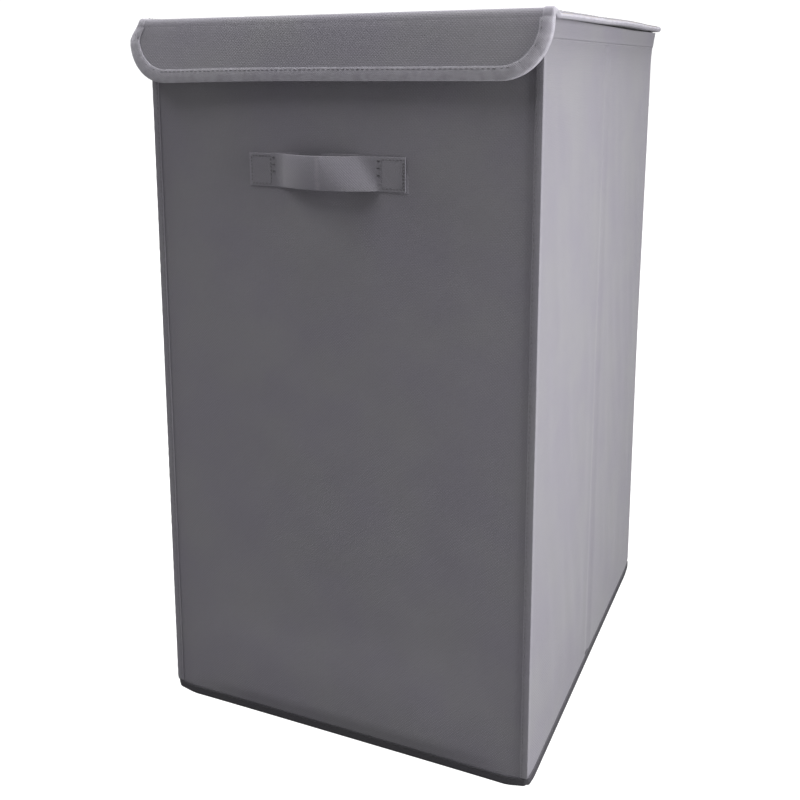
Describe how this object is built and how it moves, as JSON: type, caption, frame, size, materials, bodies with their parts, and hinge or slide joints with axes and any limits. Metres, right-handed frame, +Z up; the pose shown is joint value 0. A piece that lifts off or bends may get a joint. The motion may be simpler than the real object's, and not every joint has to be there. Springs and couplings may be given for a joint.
{
  "type": "laundry hamper",
  "caption": "Tall rectangular fabric laundry hamper with card-stiffened walls, a hinged flap lid, a loose base board and sewn strap handles.",
  "frame": {"origin": "on the floor under the middle of the body", "axes": "+Z up, the front with the lid's flap faces -Y, +X to the right seen from the front"},
  "size_m": [0.35, 0.4368, 0.6061],
  "materials": {
    "outer_fabric": "matte",
    "lining_fabric": "matte",
    "edge_tape": "matte",
    "dark_tape": "matte",
    "strap_fabric": "satin",
    "loop_fastener": "matte",
    "hook_fastener": "matte",
    "stiffening_card": "matte"
  },
  "bodies": {
    "walls": {"back_card": "stiffening_card", "back_handle_bends": "strap_fabric", "back_handle_patch": "strap_fabric", "back_handle_sewn_ends": "strap_fabric", "back_lining": "lining_fabric", "back_outer_fabric": "outer_fabric", "base_fabric": "lining_fabric", "base_tape_back": "dark_tape", "base_tape_front": "dark_tape", "base_tape_left": "dark_tape", "base_tape_right": "dark_tape", "corner_seam_back_left": "outer_fabric", "corner_seam_back_right": "outer_fabric", "corner_seam_front_left": "outer_fabric", "corner_seam_front_right": "outer_fabric", "front_card": "stiffening_card", "front_handle_bends": "strap_fabric", "front_handle_patch": "strap_fabric", "front_handle_sewn_ends": "strap_fabric", "front_lining": "lining_fabric", "front_outer_fabric": "outer_fabric", "hinge_tape_bend": "dark_tape", "hinge_tape_on_wall": "dark_tape", "left_front_card": "stiffening_card", "left_lining": "lining_fabric", "left_outer_fabric": "outer_fabric", "left_rear_card": "stiffening_card", "loop_pads": "loop_fastener", "right_front_card": "stiffening_card", "right_lining": "lining_fabric", "right_outer_fabric": "outer_fabric", "right_rear_card": "stiffening_card", "rim_tape_back": "edge_tape", "rim_tape_front": "edge_tape", "rim_tape_left": "edge_tape", "rim_tape_right": "edge_tape"},
    "base_board": {"base_board_card": "stiffening_card", "base_board_cover": "lining_fabric", "base_board_pull_tab": "strap_fabric"},
    "lid": {"flap_fold": "outer_fabric", "hinge_tape_on_lid": "dark_tape", "lid_card": "stiffening_card", "lid_edge_tape_left": "edge_tape", "lid_edge_tape_right": "edge_tape", "lid_lining": "lining_fabric", "lid_top_fabric": "outer_fabric"},
    "flap": {"flap_card": "stiffening_card", "flap_edge_tape": "edge_tape", "flap_lining": "lining_fabric", "flap_outer_fabric": "outer_fabric", "hook_pads": "hook_fastener"},
    "front_grip": {"front_handle_grip": "strap_fabric"},
    "back_grip": {"back_handle_grip": "strap_fabric"}
  },
  "joints": [
    {"name": "lid_hinge", "type": "hinge", "parent": "walls", "child": "lid", "pos_m": [0, 0.1992, 0.60565], "axis": [1, 0, 0], "range_deg": [-256, 0], "deforming": ["hinge_tape_bend"]},
    {"name": "flap_hinge", "type": "hinge", "parent": "lid", "child": "flap", "pos_m": [0, -0.20385, 0.6034], "axis": [1, 0, 0], "range_deg": [-110, 0], "deforming": ["flap_fold"]},
    {"name": "base_board_lift", "type": "slide", "parent": "walls", "child": "base_board", "axis": [0, 0, 1], "range_m": [0, 0.55]},
    {"name": "front_grip_lift", "type": "hinge", "parent": "walls", "child": "front_grip", "pos_m": [0, -0.1996, 0.489], "axis": [1, 0, 0], "range_deg": [-35, 0], "deforming": ["front_handle_bends"]},
    {"name": "back_grip_lift", "type": "hinge", "parent": "walls", "child": "back_grip", "pos_m": [0, 0.1996, 0.489], "axis": [1, 0, 0], "range_deg": [0, 35], "deforming": ["back_handle_bends"]}
  ]
}
